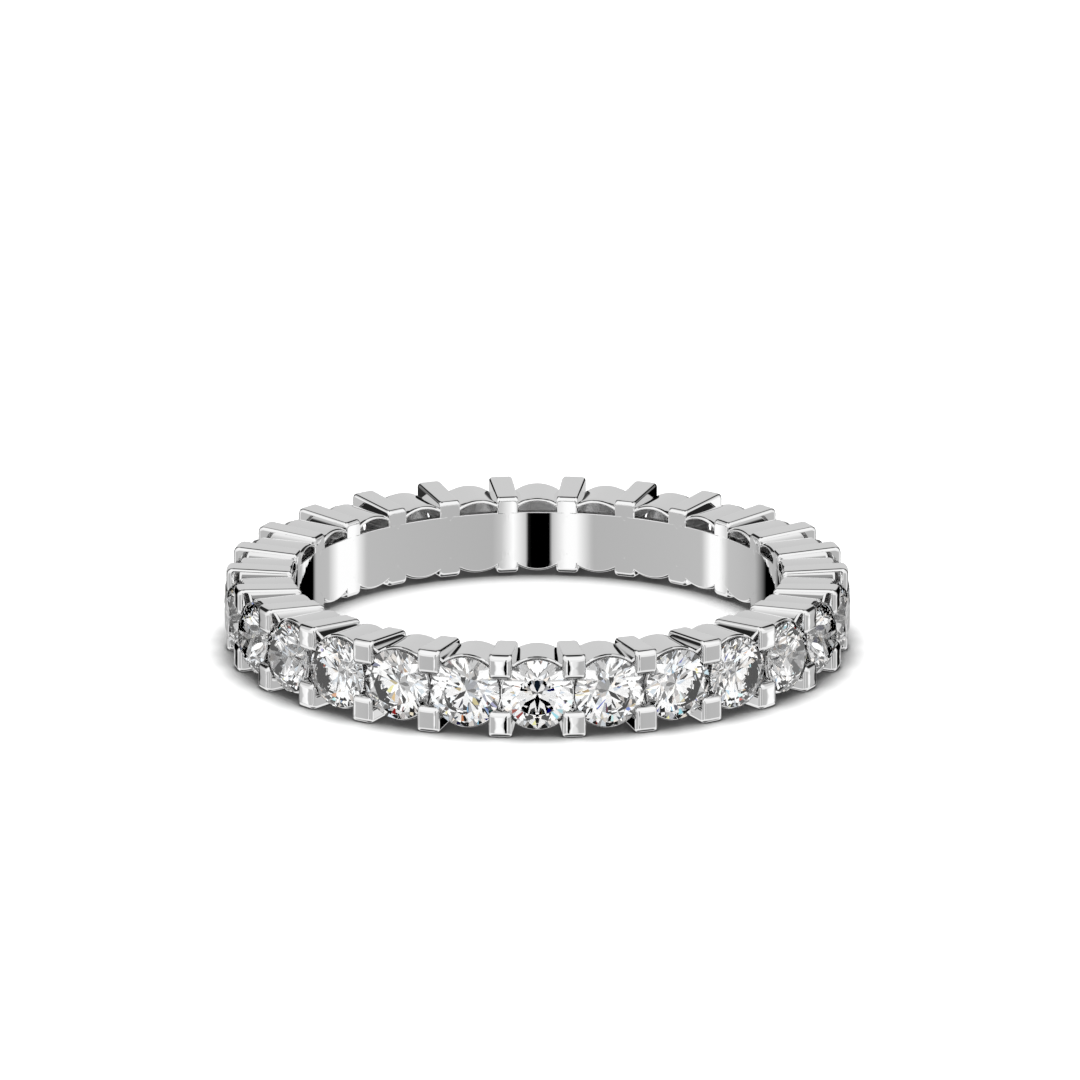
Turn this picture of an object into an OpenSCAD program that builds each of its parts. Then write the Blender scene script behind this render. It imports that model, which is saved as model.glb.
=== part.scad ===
// Eternity ring: a full circle of round brilliant stones, each in a short round collet,
// held between pairs of square prong bars that neighbouring stones share.
// The ring lies on its side, its finger hole upright, standing on the ends of its bars.

/* [Finger hole] */
// Inside diameter of the finger hole
finger_d = 16.9; // [16:0.1:18]
// Height of the straight part of the inner wall above and below its middle
bore_straight_h = 0.65; // [0.55:0.01:0.75]
// Radius of the curve by which the inner wall falls back towards its edges
comfort_r = 1.6; // [1.3:0.05:2.4]

/* [Band] */
// Height of the ring as it lies, which is the width of the band on the finger
band_w = 2.97; // [2.92:0.01:3.1]
// Thickness of the inner wall that closes the foot of the collets
sleeve_t = 0.25; // [0.2:0.01:0.35]
// Height of the inner wall's upper edge above the middle, under the upper windows
sleeve_top_h = 0.81; // [0.75:0.01:0.95]

/* [Stones] */
// Radial distance from the finger hole to the middle of the stones' girdles
girdle_depth = 1.96; // [1.9:0.01:2.1]
// Clear space between the girdles of two neighbouring stones
stone_gap = 0.026; // [0.015:0.001:0.06]
// Thickness of a stone's girdle at its thin places
girdle_t = 0.075; // [0.06:0.005:0.1]
// Width of the flat table as a share of the stone's diameter
table_share = 0.58; // [0.53:0.01:0.62]
// Slope of the eight main crown facets
crown_angle = 32; // [30:0.5:35]
// Slope of the eight main pavilion facets
pavilion_angle = 40.8; // [40:0.1:41.6]
// How far the lower girdle facets reach from the girdle towards the point
lower_share = 0.77; // [0.7:0.01:0.82]

/* [Collets] */
// How far a collet's outside stands out past the edge of its stone
collet_margin = 0.076; // [0.05:0.002:0.1]
// Wall thickness of a collet
collet_t = 0.125; // [0.1:0.005:0.15]
// Radial distance from a collet's rim out to the middle of the girdle
collet_drop = 0.14; // [0.13:0.01:0.3]

/* [Prong bars] */
// Radial distance from the middle of the girdle out to the bars' outer faces
prong_rise = 0.303; // [0.27:0.001:0.34]
// Width of a bar at its outer end
bar_outer_w = 0.82; // [0.74:0.01:0.88]
// Width of a bar at the finger hole
bar_inner_w = 0.74; // [0.64:0.01:0.8]
// Height of a bar at its outer end
bar_h = 0.94; // [0.86:0.01:1]
// How far a bar's outward side, top or bottom of the band, falls back at the finger hole
bar_fall = 0.12; // [0.04:0.01:0.14]
// How far a bar's side at the gap falls back at the finger hole
bar_rise = 0.09; // [0.03:0.01:0.12]
// Length of the level stretch beside the outer end, on which the ring stands
bar_flat = 0.8; // [0.5:0.05:1]
// Rounding of a bar's outer end where it meets the top or bottom of the band
bar_crown_r = 0.25; // [0.1:0.01:0.3]
// Rounding of a bar's outer end where it meets the gap between the two bars
bar_gap_r = 0.12; // [0.05:0.01:0.2]
// Bevel of a bar's edge at the mouth of the finger hole
bar_mouth = 0.08; // [0.04:0.01:0.1]
// Clearance between a stone and the notches that hold it
seat_gap = 0.022; // [0.015:0.001:0.03]

/* [Hidden] */

// Stones round the ring and the angle from one to the next
stone_count = 26;
step = 360 / stone_count;

// Radii measured from the middle of the finger hole
bore_r = finger_d / 2;
girdle_r = bore_r + girdle_depth;
rim_r = girdle_r - collet_drop;
prong_r = girdle_r + prong_rise;
sleeve_r = bore_r + sleeve_t;

// A stone's diameter follows from the room between its neighbours
stone_d = 2 * (girdle_r - girdle_t / 2) * tan(step / 2) - stone_gap;
stone_r = stone_d / 2;
collet_r = stone_r + collet_margin;
collet_in_r = collet_r - collet_t;

// Heights above the table top on which the ring lies
mid_h = band_w / 2;
reach = 1;
overcut = 0.5;

// A stone's own proportions, drawn with its table up and its girdle at height zero
half_girdle = girdle_t / 2;
table_r = table_share * stone_r;
crown_h = (stone_r - table_r) * tan(crown_angle);
// Corner radius of the sixteen-sided outline that the round girdle is cut from
blank_r = 1.03 * stone_r;
blank_drop = (blank_r - stone_r) * tan(crown_angle);
blank_rise = (blank_r - stone_r) * tan(pavilion_angle);
// Where the star facets end on the crown and the lower girdle facets end on the pavilion
eighth = 360 / 8;
star_r = (table_r * cos(eighth / 2) + stone_r) / 2;
star_z = half_girdle + (stone_r - star_r * cos(eighth / 2)) * tan(crown_angle);
lower_r = (1 - lower_share) * stone_r;
lower_z = -half_girdle - (stone_r - lower_r * cos(eighth / 2)) * tan(pavilion_angle);
culet_z = -half_girdle - stone_r * tan(pavilion_angle);
girdle_top_z = half_girdle - blank_drop;
girdle_low_z = -half_girdle + blank_rise;
// Height of the table above the middle of the girdle
table_z = half_girdle + crown_h;

// Corners of one stone, listed ring by ring
function ring_points(r, z, n, turn) =
    [for (i = [0:n - 1]) [r * cos(i * 360 / n + turn), r * sin(i * 360 / n + turn), z]];

stone_points = concat(
    ring_points(table_r, table_z, 8, 0),
    ring_points(star_r, star_z, 8, eighth / 2),
    ring_points(blank_r, girdle_top_z, 16, 0),
    ring_points(blank_r, girdle_low_z, 16, 0),
    ring_points(lower_r, lower_z, 8, eighth / 2),
    [[0, 0, culet_z]]
);

// Where each ring of corners starts in the list
at_table = 0;
at_star = 8;
at_top = 16;
at_low = 32;
at_lower = 48;
at_culet = 56;

function around(i, n) = (i + n) % n;

// Facets of one stone: table, stars, kites, upper girdle, girdle wall, lower girdle, mains
stone_faces = concat(
    [[for (i = [7:-1:0]) at_table + i]],
    [for (i = [0:7]) [at_table + i, at_table + around(i + 1, 8), at_star + i]],
    [for (i = [0:7]) [at_table + i, at_star + i, at_top + 2 * i, at_star + around(i - 1, 8)]],
    [for (i = [0:7]) [at_star + i, at_top + 2 * i + 1, at_top + 2 * i]],
    [for (i = [0:7]) [at_star + i, at_top + around(2 * i + 2, 16), at_top + 2 * i + 1]],
    [for (i = [0:15])
        [at_top + i, at_top + around(i + 1, 16), at_low + around(i + 1, 16), at_low + i]],
    [for (i = [0:7]) [at_lower + i, at_low + 2 * i, at_low + 2 * i + 1]],
    [for (i = [0:7]) [at_lower + i, at_low + 2 * i + 1, at_low + around(2 * i + 2, 16)]],
    [for (i = [0:7])
        [at_low + 2 * i, at_lower + i, at_culet, at_lower + around(i - 1, 8)]]
);

// Turns a shape drawn along +Z to point outwards at one place round the ring
module outward(turn) {
    translate([0, 0, mid_h])
    rotate([0, 0, turn - 90])
    rotate([0, 90, 0])
    rotate([0, 0, 180])
    children();
}

// A round rod that points outwards from one radius to another
module radial_rod(turn, r, from_r, to_r) {
    outward(turn)
    translate([0, 0, from_r])
    cylinder(r = r, h = to_r - from_r, $fn = 96);
}

// One round brilliant: flat facets above and below a true round girdle
module brilliant() {
    intersection() {
        polyhedron(points = stone_points, faces = stone_faces, convexity = 2);
        translate([0, 0, culet_z - overcut])
        cylinder(r = stone_r, h = table_z - culet_z + 2 * overcut, $fn = 96);
    }
}

// The room that a stone takes up with its clearance, as a turned shape
module stone_room() {
    wide_r = stone_r + seat_gap;
    wide_g = half_girdle + seat_gap;
    rotate_extrude($fn = 96)
    polygon([
        [0, -wide_g - wide_r * tan(pavilion_angle)],
        [wide_r, -wide_g],
        [wide_r, wide_g],
        [star_r + seat_gap, star_z + seat_gap],
        [table_r + seat_gap, table_z + seat_gap],
        [table_r + seat_gap, table_z + overcut],
        [0, table_z + overcut]
    ]);
}

// Outline of the inner wall from its foot to its upper edge, falling back at both ends
module sleeve_section() {
    // The curve leaves the straight wall at this small angle
    lean = 6;
    curve_x = bore_r + comfort_r * cos(lean);
    curve_y = bore_straight_h - comfort_r * sin(lean);
    foot_h = collet_r;
    difference() {
        translate([bore_r - overcut, -foot_h])
        square([sleeve_t + overcut, foot_h + sleeve_top_h]);
        for (side = [0, 1])
            mirror([0, side, 0])
            difference() {
                translate([bore_r - reach, curve_y])
                square([2 * reach, foot_h]);
                translate([curve_x, curve_y])
                circle(r = comfort_r, $fn = 180);
            }
    }
}

// The inner wall, which ends below in the round feet of the collets
module sleeve() {
    intersection() {
        translate([0, 0, mid_h])
        rotate_extrude($fn = 360)
        sleeve_section();
        union()
            for (i = [0:stone_count - 1])
                radial_rod(i * step, collet_r - collet_t / 2, bore_r - reach, sleeve_r + reach);
    }
}

// The round collets behind the stones, whose rims are all turned to one radius
module collets() {
    intersection() {
        translate([0, 0, -reach])
        cylinder(r = rim_r, h = band_w + 2 * reach, $fn = 360);
        difference() {
            union()
                for (i = [0:stone_count - 1])
                    radial_rod(i * step, collet_r, bore_r - overcut, rim_r + overcut);
            for (i = [0:stone_count - 1])
                radial_rod(i * step, collet_in_r, bore_r - reach, rim_r + reach);
        }
    }
}

// Section of the bars: bevelled at the finger hole, growing taller outwards, level at the end
module bar_section() {
    low = mid_h - bar_h;
    flat_r = prong_r - bar_crown_r - bar_flat;
    run = flat_r - bore_r;
    difference() {
        polygon([
            [bore_r - overcut, low + bar_rise * (run + overcut) / run],
            [flat_r, low],
            [prong_r, low],
            [prong_r, mid_h],
            [flat_r, mid_h],
            [bore_r + bar_mouth, mid_h - bar_fall * (run - bar_mouth) / run],
            [bore_r - overcut, mid_h - bar_fall * (run - bar_mouth) / run - bar_mouth - overcut]
        ]);
        translate([prong_r - bar_crown_r, mid_h - bar_crown_r])
        difference() {
            square(bar_crown_r + reach);
            circle(r = bar_crown_r, $fn = 48);
        }
        translate([prong_r - bar_gap_r, low + bar_gap_r])
        difference() {
            translate([0, -bar_gap_r - reach])
            square(bar_gap_r + reach);
            circle(r = bar_gap_r, $fn = 48);
        }
    }
}

// Plan of one bar, a little wider at its outer end
module bar_plan(turn) {
    slope = (bar_outer_w - bar_inner_w) / (prong_r - bore_r) / 2;
    in_r = bore_r - reach;
    out_r = prong_r + reach;
    in_w = bar_inner_w / 2 - slope * reach;
    out_w = bar_outer_w / 2 + slope * reach;
    rotate([0, 0, turn])
    polygon([[in_r, -in_w], [out_r, -out_w], [out_r, out_w], [in_r, in_w]]);
}

// The shared prongs: an upper and a lower bar between every two stones
module prong_bars() {
    intersection() {
        translate([0, 0, mid_h])
        union() {
            rotate_extrude($fn = 360)
            bar_section();
            mirror([0, 0, 1])
            rotate_extrude($fn = 360)
            bar_section();
        }
        translate([0, 0, -reach])
        linear_extrude(band_w + 2 * reach)
        union()
            for (i = [0:stone_count - 1])
                bar_plan((i + 0.5) * step - 90);
    }
}

// The finger hole
module finger_hole() {
    translate([0, 0, -reach])
    cylinder(r = bore_r, h = band_w + 2 * reach, $fn = 360);
}

// The whole mount: one casting of collets, inner wall and bars with the seats cut in it
module ring_mount() {
    color("silver")
    difference() {
        union() {
            collets();
            sleeve();
            prong_bars();
        }
        for (i = [0:stone_count - 1])
            outward(i * step)
            translate([0, 0, girdle_r])
            stone_room();
        finger_hole();
    }
}

// One stone in its place; the first faces the front and they follow on counter-clockwise
module stone(number) {
    color("white")
    outward((number - 1) * step)
    translate([0, 0, girdle_r])
    brilliant();
}

ring_mount();
stone(1);  // stone_01
stone(2);  // stone_02
stone(3);  // stone_03
stone(4);  // stone_04
stone(5);  // stone_05
stone(6);  // stone_06
stone(7);  // stone_07
stone(8);  // stone_08
stone(9);  // stone_09
stone(10);  // stone_10
stone(11);  // stone_11
stone(12);  // stone_12
stone(13);  // stone_13
stone(14);  // stone_14
stone(15);  // stone_15
stone(16);  // stone_16
stone(17);  // stone_17
stone(18);  // stone_18
stone(19);  // stone_19
stone(20);  // stone_20
stone(21);  // stone_21
stone(22);  // stone_22
stone(23);  // stone_23
stone(24);  // stone_24
stone(25);  // stone_25
stone(26);  // stone_26
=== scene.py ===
"""An eternity ring of round brilliants in shared square prongs, lying on a white table.

The mount and the stones are worked out as surfaces in millimetres about the middle of the
finger hole, and are put into the row's frame in metres at the end.
"""

import math

import bmesh
import bpy
import numpy as np
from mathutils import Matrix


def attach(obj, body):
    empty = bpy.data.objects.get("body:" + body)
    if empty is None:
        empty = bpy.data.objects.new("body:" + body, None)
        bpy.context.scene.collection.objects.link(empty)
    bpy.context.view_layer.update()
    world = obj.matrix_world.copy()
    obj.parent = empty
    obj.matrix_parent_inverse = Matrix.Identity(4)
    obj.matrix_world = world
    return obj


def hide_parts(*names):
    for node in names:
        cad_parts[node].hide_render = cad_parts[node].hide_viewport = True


bl_info = {
    "name": "Eternity ring",
    "version": (1, 0, 0),
    "blender": (4, 5, 0),
    "location": "3D View > Sidebar > Ring",
    "description": "Builds a full eternity ring with round brilliants in shared square prongs",
    "category": "Object",
}

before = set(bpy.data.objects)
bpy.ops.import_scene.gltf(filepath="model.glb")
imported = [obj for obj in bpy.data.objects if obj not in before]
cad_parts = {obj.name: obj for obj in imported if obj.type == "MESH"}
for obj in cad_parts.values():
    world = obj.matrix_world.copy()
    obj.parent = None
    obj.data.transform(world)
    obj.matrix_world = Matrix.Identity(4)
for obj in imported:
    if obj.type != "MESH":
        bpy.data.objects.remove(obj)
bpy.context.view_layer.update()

STONES = 26
STEP = 2 * math.pi / STONES
FRONT = -math.pi / 2
TO_METRES = 0.001
# Points round a circle, and lengths in millimetres of the collets' and wall's small roundings
AROUND = 72
LIP_DEPTH = 0.2
LIP_IN = 0.105
BORE_FLARE = 0.012
RIM_FLARE = 0.015
WALL_EDGE = 0.03
# How far the collets' ends stand off the finger hole, so that no two faces coincide there
STAND_OFF = 0.003
# Play that keeps the joined shapes' surfaces apart, and length past the surfaces they cut
PLAY = 0.03
OVERRUN = 1.0
# Points that are nearer than this on the joined mount are one
WELD = 2e-4
# The heights in degrees at which the studio's upper part begins, and how much of it there is
ABOVE_EYE = [(13, 0.0), (16, 1.0)]


# Sizes and finishes that a user would change


def length(name, description, default):
    """A length in metres, shown in the scene's unit."""
    return bpy.props.FloatProperty(
        name=name,
        description=description,
        default=default,
        min=0.0,
        precision=6,
        subtype="DISTANCE",
        unit="LENGTH",
    )


def share(name, description, default):
    """A plain number from nought to one."""
    return bpy.props.FloatProperty(
        name=name, description=description, default=default, min=0.0, max=1.0, subtype="FACTOR"
    )


def angle(name, description, degrees):
    """An angle, kept in radians and shown in degrees."""
    return bpy.props.FloatProperty(
        name=name,
        description=description,
        default=math.radians(degrees),
        subtype="ANGLE",
        unit="ROTATION",
    )


def colour(name, description, hex_value):
    """A colour given as sRGB hex and kept linear."""
    return bpy.props.FloatVectorProperty(
        name=name,
        description=description,
        default=linear(hex_value),
        size=3,
        min=0.0,
        max=1.0,
        subtype="COLOR",
    )


def linear(hex_value):
    """An sRGB hex colour such as #C0C0C0 as linear red, green and blue."""
    parts = np.array([int(hex_value[i : i + 2], 16) for i in (1, 3, 5)]) / 255
    low, high = parts / 12.92, ((parts + 0.055) / 1.055) ** 2.4
    return tuple(float(x) for x in np.where(parts <= 0.04045, low, high))


class RingMountSizes(bpy.types.PropertyGroup):
    """Sizes of the metal."""

    finger_d: length("Finger hole", "Inside diameter of the finger hole", 0.0169)
    band_w: length("Band width", "Width of the band, which is its height as it lies", 0.00297)
    wall_t: length("Wall", "Thickness of the inner wall", 0.00025)
    wall_top: length("Wall top", "Upper edge of the inner wall above its middle", 0.00081)
    collet_margin: length("Collet margin", "How far a collet stands out past its stone", 0.000093)
    collet_t: length("Collet wall", "Wall thickness of a collet", 0.000125)
    rim_bevel: length("Rim bevel", "Slant of the bevel on a collet's outer rim edge", 0.00006)
    rim_drop: length("Rim drop", "From a collet's rim out to the middle of the girdle", 0.00014)
    bar_outer_w: length("Prong width", "Width of a prong bar at its outer end", 0.00082)
    bar_inner_w: length("Prong foot width", "Width of a prong bar at the finger hole", 0.00074)
    bar_h: length("Prong height", "Height of a prong bar at its outer end", 0.00094)
    bar_fall: length("Prong fall", "How far its outward side falls back at the bore", 0.00012)
    bar_rise: length("Prong rise at the gap", "How far its other side falls back there", 0.00009)
    prong_rise: length("Prong rise", "From the girdle out to the prongs' faces", 0.000303)
    crown_round: length("Crown rounding", "Rounding of an upper prong's outer top edge", 0.00025)
    foot_round: length("Foot rounding", "Rounding of a lower prong's outer foot edge", 0.00017)
    gap_round: length("Gap rounding", "Rounding of a prong's edge at the gap", 0.00024)
    side_round: length("Side rounding", "Rounding of a prong's upright outer edges", 0.00011)
    edge_round: length("Long edges", "Rounding along a prong bar's four long edges", 0.00012)
    corner_round: length("Pad corners", "Rounding of the corners of a prong's face", 0.00012)
    mouth_round: length("Mouth rounding", "Rounding where a bar meets the finger hole", 0.00016)
    pad_fall: length("Pad fall", "How far a prong's face falls back at its sides", 0.000098)


class RingStoneSizes(bpy.types.PropertyGroup):
    """Sizes and angles of the round brilliants."""

    girdle_depth: length("Girdle depth", "From the finger hole out to the girdles", 0.00196)
    stone_gap: length("Stone gap", "Clear space between neighbouring girdles", 0.00006)
    seat_gap: length("Seat gap", "Clearance between a stone and its notches", 0.000022)
    girdle_t: length("Girdle", "Thickness of the girdle where it is thickest", 0.000075)
    table_share: share("Table", "Width of the table over the stone's diameter", 0.58)
    lower_share: share("Lower halves", "Length of the lower girdle facets", 0.77)
    crown_angle: angle("Crown", "Slope of the main crown facets", 32.0)
    pavilion_angle: angle("Pavilion", "Slope of the main pavilion facets", 40.8)


class RingFinishes(bpy.types.PropertyGroup):
    """Colours and finishes."""

    gold_colour: colour("White gold", "Colour of the rhodium plated white gold", "#F6F6F6")
    gold_roughness: share("Polish", "Roughness of the mirror polish", 0.02)
    stone_ior: bpy.props.FloatProperty(
        name="Refraction", description="Refractive index of diamond", default=2.417, min=1.0
    )
    back_haze: share("Back haze", "Roughness of the stones' worn back facets", 0.5)
    fire: share("Fire", "How much the stones part the colours", 0.55)


def mm(metres):
    """Metres as millimetres."""
    return metres / TO_METRES


def measures():
    """All the radii and heights that the pieces share, in millimetres."""
    m, s = bpy.context.scene.ring_mount_sizes, bpy.context.scene.ring_stone_sizes
    d = {k: mm(getattr(m, k)) for k in m.__annotations__}
    d |= {k: mm(getattr(s, k)) for k in ("girdle_depth", "stone_gap", "seat_gap", "girdle_t")}
    d["bore_r"] = d["finger_d"] / 2
    d["girdle_r"] = d["bore_r"] + d["girdle_depth"]
    d["rim_r"] = d["girdle_r"] - d["rim_drop"]
    d["prong_r"] = d["girdle_r"] + d["prong_rise"]
    half_spacing = (d["girdle_r"] - d["girdle_t"] / 2) * math.tan(STEP / 2)
    d["stone_r"] = half_spacing - d["stone_gap"] / 2
    d["collet_r"] = d["stone_r"] + d["collet_margin"]
    d["collet_in_r"] = d["collet_r"] - d["collet_t"]
    d["mid_h"] = d["band_w"] / 2
    return d


# Meshes from grids of points


def quads_between(rows, n):
    """Quads that join each row of points, closed upon itself, to the next."""
    here = np.arange(n)
    there = (here + 1) % n
    base = np.arange(rows - 1)[:, None] * n
    quads = np.stack([base + here, base + there, base + n + there, base + n + here], -1)
    return quads.reshape(-1, 4).tolist()


def skin(rings, start, end):
    """Points and faces of a closed skin through rings of points, with a point closing each end.

    Rings is an array of rows, points and coordinates; each row joins the next, quad by quad.
    """
    rows, n, _ = rings.shape
    points = np.vstack([rings.reshape(-1, 3), start, end])
    here = np.arange(n)
    there = (here + 1) % n
    first = np.stack([np.full(n, rows * n), there, here], -1)
    last = np.stack([np.full(n, rows * n + 1), (rows - 1) * n + here, (rows - 1) * n + there], -1)
    return points, quads_between(rows, n) + first.tolist() + last.tolist()


def new_object(name, points, faces):
    """A mesh object whose faces are turned to point outwards."""
    mesh = bpy.data.meshes.new(name)
    mesh.from_pydata(np.asarray(points).tolist(), [], faces)
    tidy = bmesh.new()
    tidy.from_mesh(mesh)
    bmesh.ops.recalc_face_normals(tidy, faces=tidy.faces)
    tidy.to_mesh(mesh)
    tidy.free()
    piece = bpy.data.objects.new(name, mesh)
    bpy.context.scene.collection.objects.link(piece)
    return piece


def combine(base, other, operation):
    """Joins, cuts or keeps in common two closed shapes, and clears the second away."""
    step = base.modifiers.new("shape", "BOOLEAN")
    step.operation = operation
    step.solver = "MANIFOLD"
    step.object = other
    graph = bpy.context.evaluated_depsgraph_get()
    made = bpy.data.meshes.new_from_object(base.evaluated_get(graph))
    base.modifiers.clear()
    old = [base.data, other.data]
    base.data = made
    bpy.data.objects.remove(other)
    for mesh in old:
        bpy.data.meshes.remove(mesh)
    return base


def rounding(radius, steps):
    """Distances along and away for a quarter round, from its first edge to its last."""
    turn = np.linspace(0, math.pi / 2, steps + 1)
    return radius * (1 - np.cos(turn)), radius * (1 - np.sin(turn))


# The mount


def turned_about(turn, profile):
    """A shape turned about a stone's axis, whose ends follow circles about the finger hole.

    Profile rows are (distance from the stone's axis, radius from the ring's axis). A point at
    distance r and angle w lies r cos w along the band and r sin w up, and out along the stone's
    axis by the root of radius squared less (r cos w) squared.
    """
    r, reach = profile[:, :1], profile[:, 1:]
    w = np.arange(AROUND) * 2 * math.pi / AROUND
    along, up = r * np.cos(w), r * np.sin(w)
    out = np.sqrt(reach**2 - along**2)
    rings = np.stack([out, along, up], -1)
    start, end = [reach[0, 0], 0, 0], [reach[-1, 0], 0, 0]
    points, faces = skin(rings, start, end)
    return new_object("turned", spun(points, turn), faces)


def spun(points, turn):
    """Points turned about the ring's axis by an angle."""
    c, s = math.cos(turn), math.sin(turn)
    x, y, z = np.asarray(points).T
    return np.stack([x * c - y * s, x * s + y * c, z], -1)


def collet_outside(d, turn):
    """A collet as a solid rod, with a soft lip at the finger hole and a bevelled rim.

    The rim's edge turns through a right angle: a small round to the bevel's slope, the bevel,
    and a second small round to the rim's face.
    """
    r, bore = d["collet_r"], d["bore_r"] + STAND_OFF
    a, b = rounding(1.0, 6)
    foot = np.stack([r - LIP_IN * b, bore + LIP_DEPTH * a], -1)
    slope = np.radians([0, 18, 34, 34, 50, 70, 90])
    step = np.array([0.0, 0.1, 0.1, 1.0, 0.12, 0.16, 0.16]) * d["rim_bevel"]
    a = np.cumsum(step * np.cos(slope))
    b = np.cumsum(step * np.sin(slope))
    head = np.stack([r - b, d["rim_r"] - a[-1] + a], -1)
    profile = np.vstack(
        [
            [r - LIP_IN - PLAY, bore],
            foot,
            [r, bore + LIP_DEPTH + PLAY],
            [r, d["rim_r"] - a[-1] - PLAY],
            head,
            [r - b[-1] - 0.4 * PLAY, d["rim_r"]],
        ]
    )
    return turned_about(turn, profile)


def collet_inside(d, turn):
    """The room inside a collet, flared where it meets the finger hole and the rim."""
    r, bore, rim = d["collet_in_r"], d["bore_r"], d["rim_r"]
    a, b = rounding(1.0, 4)
    profile = np.vstack(
        [
            [r + BORE_FLARE, bore - OVERRUN],
            [r + BORE_FLARE, bore - PLAY / 3],
            np.stack([r + BORE_FLARE * b, bore + STAND_OFF + BORE_FLARE * a], -1),
            [r, bore + BORE_FLARE + PLAY],
            [r, rim - RIM_FLARE - PLAY],
            np.stack([r + RIM_FLARE * b, rim - RIM_FLARE * a], -1)[::-1],
            [r + RIM_FLARE, rim + 0.3 * OVERRUN],
        ]
    )
    return turned_about(turn, profile)


def plain_rod(d, turn, r):
    """A plain round rod about a stone's axis, from inside the finger hole to past the wall."""
    bore = d["bore_r"]
    return turned_about(turn, np.array([[r, bore - OVERRUN], [r, bore + OVERRUN]]))


def crown(d):
    """Radii and heights of the corners of a stone's table and of the stars' outer points."""
    s = bpy.context.scene.ring_stone_sizes
    r, half, slope = d["stone_r"], d["girdle_t"] / 2, math.tan(s.crown_angle)
    between = math.cos(math.pi / 8)
    table_r = r * s.table_share
    star_r = (table_r * between + r) / 2
    table_z = half + (r - table_r) * slope
    star_z = half + (r - star_r * between) * slope
    return table_r, table_z, star_r, star_z


def stone_room(d, turn):
    """The room of one stone with its clearance: two cones that meet at a straight girdle."""
    s = bpy.context.scene.ring_stone_sizes
    gap, half = d["seat_gap"], d["girdle_t"] / 2 + d["seat_gap"]
    r = d["stone_r"] + gap
    table_r, table_z, star_r, star_z = crown(d)
    point = half + r * math.tan(s.pavilion_angle)
    # The room goes on past the table, out through the ends of the prongs
    open_end = table_z + gap + 0.4 * OVERRUN
    rows = np.array(
        [
            [r, -half],
            [r, half],
            [star_r + gap, star_z + gap],
            [table_r + gap, table_z + gap],
            [table_r + gap, open_end],
        ]
    )
    w = np.arange(AROUND) * 2 * math.pi / AROUND
    rings = np.stack(
        [
            np.repeat(d["girdle_r"] + rows[:, 1:], AROUND, 1),
            rows[:, :1] * np.cos(w),
            rows[:, :1] * np.sin(w),
        ],
        -1,
    )
    start, end = [d["girdle_r"] - point, 0, 0], [d["girdle_r"] + open_end, 0, 0]
    points, faces = skin(rings, start, end)
    return new_object("room", spun(points, turn), faces)


def inner_wall(d):
    """A stretch of the inner wall: its section carried round the finger hole.

    The section runs straight up the finger hole's side, over a small round at the top edge and
    down the back. Its lower end is cut to the collets' circles later.
    """
    bore, edge, top, foot = d["bore_r"], WALL_EDGE, d["wall_top"], d["collet_r"]
    up = np.linspace(-foot, top - edge - 0.004, 6)
    a, b = rounding(edge, 4)
    section = np.vstack(
        [
            np.stack([np.full(6, bore), up], -1),
            np.stack([bore + a, top - b], -1),
            [bore + d["wall_t"], top],
            [bore + d["wall_t"], -foot],
        ]
    )
    turns = np.linspace(-STEP / 8, STEP / 2 + STEP / 8, 11)
    rings = np.stack(
        [
            section[:, 0] * np.cos(turns)[:, None],
            section[:, 0] * np.sin(turns)[:, None],
            np.broadcast_to(section[:, 1], (len(turns), len(section))),
        ],
        -1,
    )
    rows, n, _ = rings.shape
    here = np.arange(n)
    ends = [here[::-1].tolist(), ((rows - 1) * n + here).tolist()]
    return new_object("wall", rings.reshape(-1, 3), quads_between(rows, n) + ends)


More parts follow.
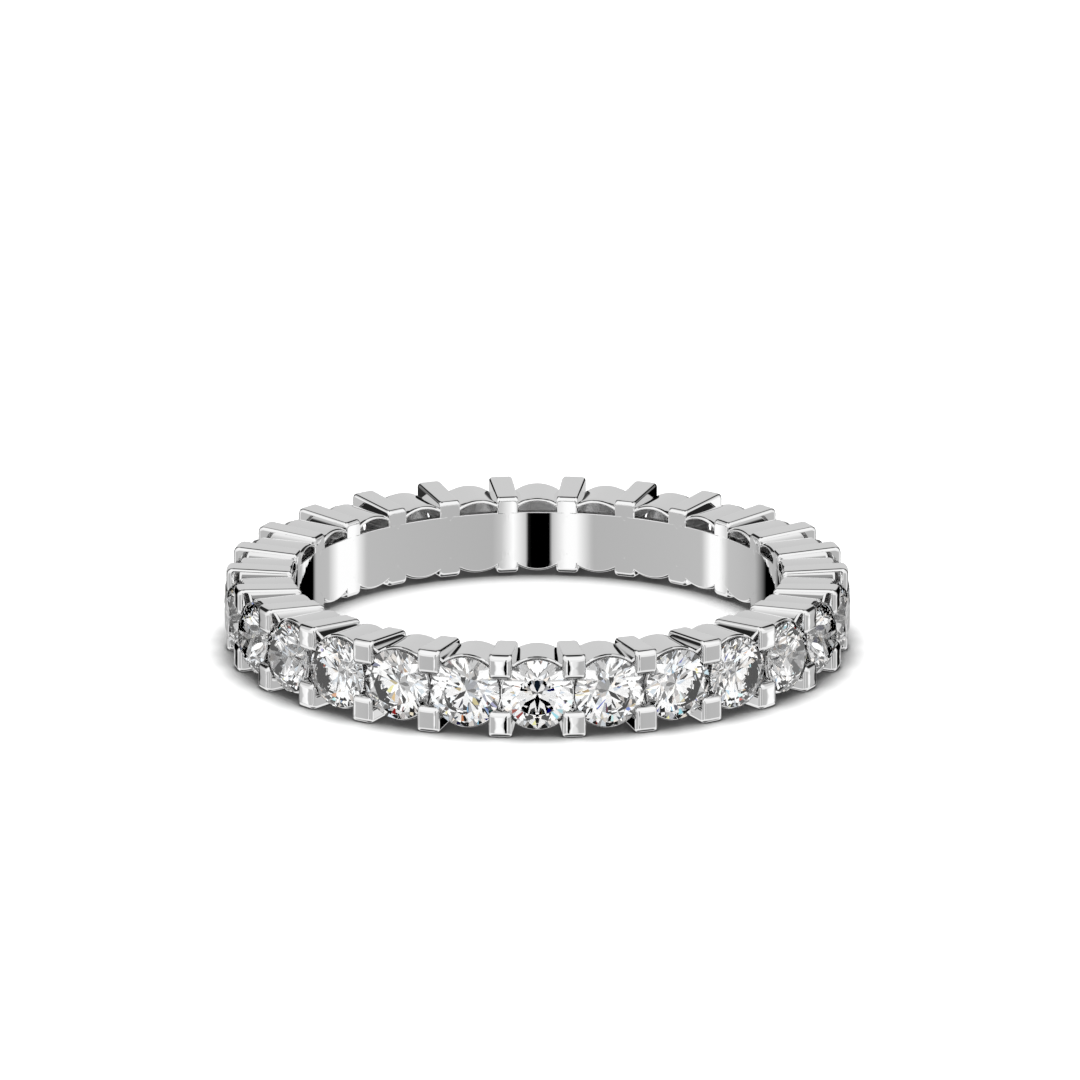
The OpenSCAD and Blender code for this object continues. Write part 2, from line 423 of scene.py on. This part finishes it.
def prong_bar(d, upper):
    """One prong bar: a rounded oblong outline carried out from the finger hole to its face.

    The outline's half width and its two heights shrink near both ends by quarter rounds, so
    every edge is soft. The inner face follows the finger hole. The outer face falls back by the
    fourth power of the distance from its middle, as a share of the half width, and less so
    towards its upper and lower edges.
    """
    steps = 4
    # One corner of the outline, from the upright side to the level one. The flats beside it
    # have points close to the round and further along, given as shares of the flat's half.
    turn = np.linspace(0, math.pi / 2, steps + 1)
    flat = np.array([0.06, 0.35, 0.7])
    beta = np.concatenate([[0.0], turn, np.full(3, math.pi / 2)])
    back_x = np.concatenate([np.zeros(steps + 2), flat])
    back_z = np.concatenate([[0.08], np.zeros(steps + 4)])
    count = len(beta)
    sx = np.repeat([1, -1, -1, 1], count)
    sz = np.repeat([1, 1, -1, -1], count)

    def all_round(values):
        """One corner's values for all four corners, every second time in reverse."""
        return np.concatenate([values, values[::-1]] * 2)

    def shrink(depth, radius):
        """How much a quarter round takes off at a depth below the face that it runs into."""
        inside = np.clip(radius - depth, 0, radius)
        return radius - np.sqrt(radius**2 - inside**2)

    # A hair outside the finger hole, where the sides and the edge at the gap are barely rounded
    inner_r, barely = d["bore_r"] + 0.002, 0.05
    outer_round = d["crown_round"] if upper else d["foot_round"]
    # Each rounding is followed by one more outline a little further on
    near = np.concatenate([rounding(d["mouth_round"], 5)[0], [d["mouth_round"] + 0.03]])
    far = np.concatenate([rounding(d["crown_round"], 10)[0], [d["crown_round"] + 0.04]])
    length_out = d["prong_r"] - inner_r
    # Depth from the inner face, and from the outer face, of every outline on the way
    from_inner = np.concatenate([near, length_out - far[::-1]])
    from_outer = length_out - from_inner
    width = d["bar_inner_w"] + (d["bar_outer_w"] - d["bar_inner_w"]) * from_inner / length_out
    side = shrink(from_inner, barely) + shrink(from_outer, d["side_round"])
    top = shrink(from_inner, d["mouth_round"]) + shrink(from_outer, outer_round)
    low = shrink(from_inner, barely) + shrink(from_outer, d["gap_round"])
    fall = 1 - np.clip(from_inner / (length_out - d["crown_round"]), 0, 1)
    z_high = d["mid_h"] - top - d["bar_fall"] * fall
    z_low = d["mid_h"] - d["bar_h"] + low + d["bar_rise"] * fall
    half_w, half_h = (width / 2 - side)[:, None], ((z_high - z_low) / 2)[:, None]
    mid_z = ((z_high + z_low) / 2)[:, None]
    near_face = np.clip(1 - from_outer / (2 * d["crown_round"]), 0, 1)
    corner = (d["edge_round"] + (d["corner_round"] - d["edge_round"]) * near_face)[:, None]
    across = sx * ((half_w - corner) * (1 - all_round(back_x)) + corner * all_round(np.cos(beta)))
    up = sz * ((half_h - corner) * (1 - all_round(back_z)) + corner * all_round(np.sin(beta)))
    # Smaller outlines close each face, so that its bulge or hollow is even
    inset = np.array([0.4, 0.8, 0.96])[:, None]
    across = np.vstack([across[:1] * inset, across, across[-1:] * inset[::-1]])
    up = np.vstack([up[:1] * inset, up, up[-1:] * inset[::-1]])
    mid_z = np.vstack([np.repeat(mid_z[:1], 3, 0), mid_z, np.repeat(mid_z[-1:], 3, 0)])
    depth = np.concatenate([np.zeros(3), from_inner, np.full(3, length_out)])[:, None]
    hollow = np.sqrt((inner_r + depth) ** 2 - across**2)
    share_x, share_z = across / (d["bar_outer_w"] / 2), up / (d["bar_h"] / 2)
    bulge = inner_r + depth - d["pad_fall"] * share_x**4 * (1 - 0.9 * share_z**2)
    blend = np.clip((depth - 0.5 * length_out) / (0.45 * length_out), 0, 1) ** 4
    out = hollow * (1 - blend) + bulge * blend
    rings = np.stack([out, across, mid_z + up], -1)
    ends = [inner_r, 0, mid_z[0, 0]], [d["prong_r"], 0, mid_z[-1, 0]]
    points, faces = skin(rings, *ends)
    if not upper:
        points = points * [1, 1, -1]
    return new_object("bar", spun(points, STEP / 2), faces)


def half_cell(d):
    """The metal from the middle of one stone to the middle of the next prong, cut flat there."""
    metal = collet_outside(d, 0)
    combine(metal, collet_outside(d, STEP), "UNION")
    combine(metal, collet_inside(d, 0), "DIFFERENCE")
    combine(metal, collet_inside(d, STEP), "DIFFERENCE")
    core_r = d["collet_r"] - LIP_IN - 0.01
    core = plain_rod(d, 0, core_r)
    combine(core, plain_rod(d, STEP, core_r), "UNION")
    wall = inner_wall(d)
    combine(wall, core, "INTERSECT")
    combine(metal, wall, "UNION")
    for upper in (True, False):
        combine(metal, prong_bar(d, upper), "UNION")
    combine(metal, stone_room(d, 0), "DIFFERENCE")
    combine(metal, stone_room(d, STEP), "DIFFERENCE")
    cut = bmesh.new()
    cut.from_mesh(metal.data)
    for x, y in ((0, -1), (-math.sin(STEP / 2), math.cos(STEP / 2))):
        bmesh.ops.bisect_plane(
            cut,
            geom=cut.verts[:] + cut.edges[:] + cut.faces[:],
            dist=1e-6,
            plane_co=(0, 0, 0),
            plane_no=(x, y, 0),
            clear_outer=True,
        )
    bmesh.ops.triangulate(cut, faces=cut.faces)
    cut.verts.index_update()
    points = np.array([v.co for v in cut.verts])
    faces = np.array([[v.index for v in f.verts] for f in cut.faces])
    cut.free()
    mesh = metal.data
    bpy.data.objects.remove(metal)
    bpy.data.meshes.remove(mesh)
    return points, faces


def finished(name, points, faces, material, nodes, sharp=None):
    """Puts a piece into the row's frame in metres, hangs it on the root body, and hides the
    model's parts that it stands for.
    """
    piece = new_object(name, points, faces)
    mesh = piece.data
    co = np.empty(len(mesh.vertices) * 3, np.float32)
    mesh.vertices.foreach_get("co", co)
    mesh.vertices.foreach_set("co", co * TO_METRES)
    if sharp is not None:
        mesh.polygons.foreach_set("use_smooth", np.ones(len(mesh.polygons), bool))
        mesh.set_sharp_from_angle(angle=sharp)
    mesh.materials.append(material)
    mesh.update()
    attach(piece, "root")
    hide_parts(*nodes)
    return piece


class RING_OT_cast_mount(bpy.types.Operator):
    """Builds the polished mount: collets, inner wall and shared prong bars in one casting"""

    bl_idname = "ring.cast_mount"
    bl_label = "Cast the mount"

    def execute(self, context):
        d = measures()
        points, faces = half_cell(d)
        mirrored = points * [1, -1, 1]
        cell = np.vstack([points, mirrored])
        cell_faces = np.vstack([faces, faces[:, ::-1] + len(points)])
        turns = FRONT + np.arange(STONES) * STEP
        c, s = np.cos(turns)[:, None], np.sin(turns)[:, None]
        x, y, z = cell.T
        ring = np.stack(
            [x * c - y * s, x * s + y * c, np.broadcast_to(z + d["mid_h"], (STONES, len(z)))], -1
        )
        ring_faces = cell_faces + (np.arange(STONES) * len(cell))[:, None, None]
        joined = bmesh.new()
        loose = bpy.data.meshes.new("loose")
        loose.from_pydata(ring.reshape(-1, 3).tolist(), [], ring_faces.reshape(-1, 3).tolist())
        joined.from_mesh(loose)
        bpy.data.meshes.remove(loose)
        bmesh.ops.remove_doubles(joined, verts=joined.verts, dist=WELD)
        bmesh.ops.dissolve_degenerate(joined, edges=joined.edges, dist=WELD / 2)
        joined.verts.index_update()
        points = np.array([v.co for v in joined.verts])
        faces = [[v.index for v in f.verts] for f in joined.faces]
        joined.free()
        finished(
            "mount_casting",
            points,
            faces,
            white_gold(),
            ["ring_mount"],
            sharp=math.radians(30),
        )
        return {"FINISHED"}


# The stones


def brilliant(d):
    """Points and faces of one round brilliant, its table up and its girdle's middle at nought.

    The main facets slope at the crown and pavilion angles, their points in line with the
    table's corners. Each girdle point lies where the facet plane above or below it meets the
    round girdle, so the girdle is scalloped as a cut stone's is.
    """
    s = bpy.context.scene.ring_stone_sizes
    r, half, eighth = d["stone_r"], d["girdle_t"] / 2, math.pi / 4
    per_facet = 6
    n = 16 * per_facet
    table_r, table_z, star_r, star_z = crown(d)
    slope = math.tan(s.pavilion_angle)
    lower_r = (1 - s.lower_share) * r
    lower_z = -half - (r - lower_r * math.cos(eighth / 2)) * slope
    culet_z = -half - r * slope

    def ring_of(count, radius, z, turn):
        w = np.arange(count) * 2 * math.pi / count + turn
        return np.stack([radius * np.cos(w), radius * np.sin(w), np.full(count, z)], -1)

    def girdle_edge(inner, z_edge):
        """Heights round the girdle of the sixteen planes through the inner points."""
        w = np.arange(n) * 2 * math.pi / n
        sector = np.arange(n) // per_facet
        a = 2 * math.pi * sector / 16
        b = 2 * math.pi * (sector + 1) / 16
        own = inner[(sector // 2) % 8]
        pa = np.stack([r * np.cos(a), r * np.sin(a), np.full(n, z_edge)], -1)
        pb = np.stack([r * np.cos(b), r * np.sin(b), np.full(n, z_edge)], -1)
        normal = np.cross(pb - pa, own - pa)
        x, y = r * np.cos(w), r * np.sin(w)
        rise = normal[:, 0] * (x - pa[:, 0]) + normal[:, 1] * (y - pa[:, 1])
        z = pa[:, 2] - rise / normal[:, 2]
        return np.stack([x, y, z], -1)

    stars = ring_of(8, star_r, star_z, eighth / 2)
    lowers = ring_of(8, lower_r, lower_z, eighth / 2)
    upper_edge, lower_edge = girdle_edge(stars, half), girdle_edge(lowers, -half)
    points = np.vstack(
        [ring_of(8, table_r, table_z, 0), stars, upper_edge, lower_edge, lowers, [[0, 0, culet_z]]]
    )
    table, star, top, low, lower, culet = 0, 8, 16, 16 + n, 16 + 2 * n, 24 + 2 * n
    i = range(8)
    arc = 2 * per_facet
    faces = [[table + k for k in i]]
    faces += [[table + k, star + k, table + (k + 1) % 8] for k in i]
    faces += [[table + k, star + (k - 1) % 8, top + arc * k, star + k] for k in i]
    faces += [
        [star + k // 2] + [top + (per_facet * k + j) % n for j in range(per_facet + 1)]
        for k in range(16)
    ]
    faces += [[top + j, low + j, low + (j + 1) % n, top + (j + 1) % n] for j in range(n)]
    faces += [
        [lower + k // 2] + [low + (per_facet * k + j) % n for j in range(per_facet, -1, -1)]
        for k in range(16)
    ]
    faces += [[low + arc * k, lower + (k - 1) % 8, culet, lower + k] for k in i]
    return points, faces


class RING_OT_set_stones(bpy.types.Operator):
    """Cuts the round brilliants and sets one in each collet"""

    bl_idname = "ring.set_stones"
    bl_label = "Cut and set the stones"

    def execute(self, context):
        d = measures()
        points, faces = brilliant(d)
        x, y, z = points.T
        material = diamond()
        for number in range(STONES):
            placed = spun(np.stack([d["girdle_r"] + z, -y, x], -1), FRONT + number * STEP)
            placed = placed + [0, 0, d["mid_h"]]
            node = f"stone_{number + 1:02d}"
            finished(f"brilliant_{number + 1:02d}", placed, faces, material, [node])
        return {"FINISHED"}


# Finishes


def add(tree, kind, links=None, **settings):
    """Adds one node with its settings, and links or sets the inputs that are named."""
    made = tree.nodes.new(kind)
    for name, value in settings.items():
        setattr(made, name, value)
    for name, value in (links or {}).items():
        socket = made.inputs[name]
        if isinstance(value, bpy.types.NodeSocket):
            tree.links.new(value, socket)
        else:
            socket.default_value = value
    return made


def new_material(name):
    """A node material with nothing in it yet, and its node tree."""
    material = bpy.data.materials.new(name)
    material.use_nodes = True
    material.node_tree.nodes.clear()
    return material, material.node_tree


def white_gold():
    """Rhodium plated 18 carat white gold with a mirror polish."""
    f = bpy.context.scene.ring_finishes
    material, tree = new_material("white_gold_mirror_polish")
    # The polish leaves a very faint unevenness, about 0.4 mm across, that softens reflections
    place = add(tree, "ShaderNodeTexCoord")
    cloud = add(
        tree,
        "ShaderNodeTexNoise",
        {"Vector": place.outputs["Object"], "Scale": 1 / 0.0004, "Detail": 2.0},
    )
    rough = add(
        tree,
        "ShaderNodeMapRange",
        {
            "Value": cloud.outputs["Fac"],
            "To Min": f.gold_roughness * 0.6,
            "To Max": f.gold_roughness * 1.4,
        },
    )
    metal = add(
        tree,
        "ShaderNodeBsdfPrincipled",
        {
            "Base Color": (*f.gold_colour, 1),
            "Metallic": 1.0,
            "Roughness": rough.outputs["Result"],
        },
    )
    add(tree, "ShaderNodeOutputMaterial", {"Surface": metal.outputs["BSDF"]})
    return material


def diamond():
    """Colourless diamond with polished facets."""
    f = bpy.context.scene.ring_finishes
    material, tree = new_material("diamond_polished")
    # Seen from the finger hole the pavilion's back facets have the faint haze of wear
    place = add(tree, "ShaderNodeTexCoord")
    outward = add(
        tree,
        "ShaderNodeVectorMath",
        {0: place.outputs["Object"], 1: place.outputs["Normal"]},
        operation="DOT_PRODUCT",
    )
    behind = calc(tree, "LESS_THAN", outward.outputs["Value"], 0.0)
    depth = add(tree, "ShaderNodeLightPath").outputs["Transmission Depth"]
    seen = calc(tree, "LESS_THAN", depth, 0.5)
    haze = calc(tree, "MULTIPLY", calc(tree, "MULTIPLY", behind, seen), f.back_haze)
    stone = add(
        tree,
        "ShaderNodeBsdfPrincipled",
        {
            "Base Color": (1, 1, 1, 1),
            "Roughness": haze,
            "IOR": f.stone_ior,
            "Transmission Weight": 1.0,
        },
    )
    add(tree, "ShaderNodeOutputMaterial", {"Surface": stone.outputs["BSDF"]})
    return material


# The stage: table top, studio and camera


def table_material():
    """Matt white laminate, bright enough to read as pure white where nothing shades it, with a
    painted contact shadow darkening its colour under the ring.
    """
    material, tree = new_material("white_table_laminate_painted_shadow")
    # Painted contact shadow: close under the ring an occlusion ramp darkens the white to a soft
    # grey, over about 1.5 mm
    near = add(tree, "ShaderNodeAmbientOcclusion", {"Distance": 0.0011}, samples=6)
    painted_shadow = ramp(
        tree,
        near.outputs["AO"],
        [(0.0, 0.05), (0.25, 0.05), (0.42, 0.17), (0.62, 0.5), (0.85, 0.84), (1.0, 0.9)],
    )
    # A painted thin dark line of shadow right at the prongs' feet, also driven by occlusion
    painted_foot_shadow_ao = add(tree, "ShaderNodeAmbientOcclusion", {"Distance": 0.00016}, samples=3)
    line = ramp(tree, painted_foot_shadow_ao.outputs["AO"], [(0.45, 0.1), (0.75, 1.0)])
    both = calc(tree, "MULTIPLY", painted_shadow, line)
    top = add(tree, "ShaderNodeBsdfPrincipled", {"Base Color": both, "Roughness": 0.5})
    add(tree, "ShaderNodeOutputMaterial", {"Surface": top.outputs["BSDF"]})
    return material


def ramp(tree, value, stops):
    """A grey ramp over a value, given as (place from 0 to 1, grey) pairs."""
    made = add(tree, "ShaderNodeValToRGB", {"Fac": value})
    elements = made.color_ramp.elements
    for _ in range(len(stops) - 2):
        elements.new(0.5)
    for element, (place, grey) in zip(elements, stops):
        element.position = place
        element.color = (grey, grey, grey, 1)
    return made.outputs["Color"]


def calc(tree, operation, a, b=0.0, c=0.0):
    """One sum on up to three values or sockets."""
    made = add(tree, "ShaderNodeMath", operation=operation)
    for socket, value in zip(made.inputs, (a, b, c)):
        if isinstance(value, bpy.types.NodeSocket):
            tree.links.new(value, socket)
        else:
            socket.default_value = value
    return made.outputs[0]


def spread_out(tree, direction):
    """A direction's parts, and its bearing and height, each from 0 to 1.

    The bearing runs through the back, the left, the camera and the right; the height runs from
    straight below to straight above.
    """
    parts = add(tree, "ShaderNodeSeparateXYZ", {"Vector": direction}).outputs
    away = calc(tree, "MULTIPLY", parts["Y"], -1.0)
    bearing = calc(tree, "ARCTAN2", parts["X"], away)
    place = calc(tree, "MULTIPLY_ADD", bearing, 1 / (2 * math.pi), 0.5)
    height = calc(tree, "MULTIPLY_ADD", calc(tree, "ARCSINE", parts["Z"]), 1 / math.pi, 0.5)
    return parts, place, height


def by_bearing(tree, place, stops):
    """A grey over the bearing, from stops in degrees from the camera, negative to its left."""
    return ramp(tree, place, [(a / 360 + 0.5, g) for a, g in stops])


def by_height(tree, height, stops):
    """A grey over the height, from stops in degrees above the level."""
    return ramp(tree, height, [(a / 180 + 0.5, g) for a, g in stops])


def mixed(tree, factor, a, b):
    """A value between two others by a factor."""
    made = add(tree, "ShaderNodeMix", {"Factor": factor, "A": a, "B": b}, data_type="FLOAT")
    return made.outputs["Result"]


def studio(tree, direction):
    """How bright the studio is in a direction.

    Just below eye level it depends on the bearing: a dark slit at the camera, soft white panels
    beside it and at the sides, grey walls between, and dark flags behind the sides. Higher up it
    is white in front and grey behind, under a dark ceiling, and low down it is white.
    """
    parts, place, height = spread_out(tree, direction)
    near = by_bearing(
        tree,
        place,
        [
            (-180, 0.0), (-173, 0.0), (-170, 0.66), (-155, 0.66), (-151, 0.0), (-137, 0.0),
            (-125, 0.5), (-102, 0.57), (-96, 1.08), (-90, 1.08), (-84, 0.54), (-26, 0.49),
            (-18, 1.08), (-13.2, 1.08), (-7.1, 0.61), (-5.9, 0.0), (4.2, 0.0), (5.6, 0.64),
            (11.2, 1.1), (17, 0.6), (21, 0.48), (88, 0.53), (96, 1.08), (108, 1.08), (117, 0.54),
            (129, 0.52), (132, 0.0), (152, 0.0), (155, 0.66), (170, 0.66), (173, 0.0), (180, 0.0),
        ],
    )
    # A little higher the slit goes on, and the front is brighter
    upper = by_bearing(
        tree,
        place,
        [
            (-180, 0.66), (-158, 0.66), (-156, 0.0), (-131, 0.0), (-125, 0.5), (-105, 0.9),
            (-7, 0.9), (-6, 0.0), (4.2, 0.0), (5.4, 0.9), (105, 0.9), (125, 0.5), (131, 0.0),
            (156, 0.0), (158, 0.66), (180, 0.66),
        ],
    )
    fore = by_height(
        tree,
        height,
        [
            (-90, 0.9), (-30, 0.9), (17, 1.0), (67, 1.0), (70, 0.35), (79, 0.35), (81, 0.0),
            (90, 0.0),
        ],
    )
    back = by_height(
        tree,
        height,
        [
            (-90, 0.9), (-30, 0.9), (0, 0.63), (14, 0.655), (50, 0.625), (68, 0.65), (71, 0.0),
            (90, 0.0),
        ],
    )
    half = calc(tree, "MULTIPLY_ADD", parts["Y"], -0.5, 0.5)
    far = mixed(tree, ramp(tree, half, [(0.45, 0.0), (0.55, 1.0)]), back, fore)
    level = mixed(tree, by_height(tree, height, [(-10, 0.0), (-6, 1.0)]), near, upper)
    below = mixed(tree, by_height(tree, height, [(-30, 0.0), (-24, 1.0)]), far, level)
    return mixed(tree, by_height(tree, height, ABOVE_EYE), below, far)


def studio_in_stones(tree, direction, deep):
    """The studio as the stones gather it: panels stronger, sides greyer and nowhere quite black.

    A small dark flag high up to the right of the camera shades the upper facets. Deep is one on
    paths mirrored more often than three times, which find the front of the studio dark.
    """
    contrast, gain = 1.7, 1.42
    parts, place, height = spread_out(tree, direction)
    strong = calc(tree, "POWER", studio(tree, direction), contrast)
    seen = calc(tree, "MULTIPLY", strong, gain)
    sides = by_bearing(
        tree,
        place,
        [
            (-180, 1.0), (-104, 1.0), (-96, 0.45), (-36, 0.5), (-28, 1.0), (28, 1.0), (36, 0.5),
            (96, 0.45), (104, 1.0), (180, 1.0),
        ],
    )
    least = by_bearing(
        tree,
        place,
        [
            (-180, 0.4), (-165, 0.55), (-150, 0.75), (-118, 0.75), (-104, 0.35), (-60, 0.2),
            (-40, 0.0), (40, 0.0), (60, 0.2), (104, 0.35), (118, 0.75), (150, 0.75), (165, 0.55),
            (180, 0.4),
        ],
    )
    across = by_bearing(tree, place, [(8, 0.0), (11, 0.9), (25, 0.9), (28, 0.0)])
    up = by_height(tree, height, [(37, 0.0), (38, 1.0), (45, 1.0), (46, 0.0)])
    flag = calc(tree, "SUBTRACT", 1.0, calc(tree, "MULTIPLY", across, up))
    lit = calc(tree, "MULTIPLY", calc(tree, "MULTIPLY", seen, sides), flag)
    front = calc(tree, "LESS_THAN", parts["Y"], 0.0)
    kept = calc(tree, "SUBTRACT", 1.0, calc(tree, "MULTIPLY", front, deep))
    return calc(tree, "MULTIPLY", calc(tree, "MAXIMUM", lit, least), kept)


def build_studio():
    """The studio light as a world: panels for reflections, even white light for the table."""
    world = bpy.data.worlds.new("soft_studio")
    bpy.context.scene.world = world
    world.use_nodes = True
    tree = world.node_tree
    tree.nodes.clear()
    direction = add(tree, "ShaderNodeTexCoord").outputs["Generated"]
    ray = add(tree, "ShaderNodeLightPath")
    deep = calc(tree, "GREATER_THAN", ray.outputs["Glossy Depth"], 3.5)
    # Through a stone each colour comes from a slightly different direction, which is its fire
    parting = 1.2
    channels = []
    for spread in (-parting, 0.0, parting):
        turned = add(
            tree,
            "ShaderNodeVectorRotate",
            {"Vector": direction, "Axis": (0.3, 0.2, 1.0), "Angle": math.radians(spread)},
            rotation_type="AXIS_ANGLE",
        )
        channels.append(studio_in_stones(tree, turned.outputs["Vector"], deep))
    # The outer colours keep a share of the middle one, so that the fire stays pale
    fire = bpy.context.scene.ring_finishes.fire
    for i in (0, 2):
        own = calc(tree, "MULTIPLY", channels[i], fire)
        channels[i] = calc(tree, "MULTIPLY_ADD", channels[1], 1 - fire, own)
    split = add(tree, "ShaderNodeCombineColor", dict(zip(("Red", "Green", "Blue"), channels)))
    through = add(tree, "ShaderNodeMix", data_type="RGBA")
    inside = calc(tree, "GREATER_THAN", ray.outputs["Transmission Depth"], 0.5)
    # The metal finds the shaded table top dark straight below,
    _, place, height = spread_out(tree, direction)
    shaded = by_height(tree, height, [(-62, 0.08), (-46, 1.0)])
    # and the dark flags behind the sides reaching up to the ceiling
    tall = by_bearing(
        tree,
        place,
        [
            (-150, 1.0), (-146, 0.03), (-119, 0.03), (-113, 1.0), (113, 1.0), (119, 0.03),
            (146, 0.03), (150, 1.0),
        ],
    )
    flags = mixed(tree, by_height(tree, height, ABOVE_EYE), 1.0, tall)
    metal = calc(tree, "MULTIPLY", calc(tree, "MULTIPLY", studio(tree, direction), flags), shaded)
    # Sockets 0, 6 and 7 of a colour mix are its factor and its two colours
    for socket, value in zip((0, 6, 7), (inside, metal, split.outputs["Color"])):
        tree.links.new(value, through.inputs[socket])
    lit = calc(tree, "MAXIMUM", ray.outputs["Is Diffuse Ray"], ray.outputs["Is Camera Ray"])
    panels = add(tree, "ShaderNodeBackground", {"Color": through.outputs[2], "Strength": 1.0})
    even = add(tree, "ShaderNodeBackground", {"Color": (1, 1, 1, 1), "Strength": 2.2})
    both = add(tree, "ShaderNodeMixShader", {0: lit, 1: panels.outputs[0], 2: even.outputs[0]})
    add(tree, "ShaderNodeOutputWorld", {"Surface": both.outputs[0]})


def build_table(size=0.6, cells=24):
    """A flat grid just under the ring: x and y run over a square and z is nought."""
    line = np.linspace(-size / 2, size / 2, cells + 1)
    x, y = np.meshgrid(line, line)
    points = np.stack([x, y, np.zeros_like(x)], -1).reshape(-1, 3)
    i = (np.arange(cells)[:, None] * (cells + 1) + np.arange(cells)).ravel()
    faces = np.stack([i, i + 1, i + cells + 2, i + cells + 1], -1).tolist()
    top = new_object("table_top", points, faces)
    top.data.materials.append(table_material())
    top.visible_glossy = False
    top.visible_transmission = False
    return top


def build_camera(d):
    """A camera that looks along +Y and down by the photograph's angle, without perspective.

    The frame is 1080 by 1080 and shows 29.03 of its pixels to a millimetre; the middle of the
    ring is 2.7 pixels left of the frame's middle and 66.3 below it.
    """
    pixels, per_mm = 1080, 29.03
    down = math.radians(17.0)
    data = bpy.data.cameras.new("camera")
    data.type = "ORTHO"
    data.ortho_scale = pixels / per_mm * TO_METRES
    camera = bpy.data.objects.new("camera", data)
    bpy.context.scene.collection.objects.link(camera)
    right, up = np.array([1, 0, 0]), np.array([0, math.sin(down), math.cos(down)])
    back = np.array([0, -math.cos(down), math.sin(down)])
    aim = np.array([0, 0, d["mid_h"]]) + right * 2.7 / per_mm + up * 66.3 / per_mm
    camera.location = (aim + back * 200) * TO_METRES
    camera.rotation_euler = (math.pi / 2 - down, 0, 0)
    data.clip_start, data.clip_end = 0.01, 10.0
    bpy.context.scene.camera = camera


class RING_OT_set_stage(bpy.types.Operator):
    """Lays the white table top and sets up the soft studio light and the camera"""

    bl_idname = "ring.set_stage"
    bl_label = "Set the stage"

    def execute(self, context):
        build_table()
        build_studio()
        build_camera(measures())
        scene = context.scene
        scene.view_settings.view_transform = "Standard"
        scene.cycles.max_bounces = 16
        scene.cycles.glossy_bounces = 5
        scene.cycles.transmission_bounces = 12
        return {"FINISHED"}


class RING_PT_panel(bpy.types.Panel):
    """The ring's pieces and sizes in the sidebar"""

    bl_idname = "RING_PT_panel"
    bl_label = "Eternity ring"
    bl_space_type = "VIEW_3D"
    bl_region_type = "UI"
    bl_category = "Ring"

    def draw(self, context):
        for operator in OPERATORS:
            self.layout.operator(operator.bl_idname)
        for name in GROUPS:
            group = getattr(context.scene, name)
            box = self.layout.box()
            for field in group.__annotations__:
                box.prop(group, field)


GROUPS = {
    "ring_mount_sizes": RingMountSizes,
    "ring_stone_sizes": RingStoneSizes,
    "ring_finishes": RingFinishes,
}
OPERATORS = (RING_OT_cast_mount, RING_OT_set_stones, RING_OT_set_stage)


def register():
    """Adds the operators, the panel and the groups of sizes."""
    for cls in (*GROUPS.values(), *OPERATORS, RING_PT_panel):
        bpy.utils.register_class(cls)
    for name, group in GROUPS.items():
        setattr(bpy.types.Scene, name, bpy.props.PointerProperty(type=group))


def unregister():
    """Takes them away again."""
    for name in GROUPS:
        delattr(bpy.types.Scene, name)
    for cls in (RING_PT_panel, *reversed(OPERATORS), *GROUPS.values()):
        bpy.utils.unregister_class(cls)


def main():
    """Builds the ring and its stage."""
    register()
    bpy.ops.ring.cast_mount()
    bpy.ops.ring.set_stones()
    bpy.ops.ring.set_stage()


if __name__ == "__main__":
    main()
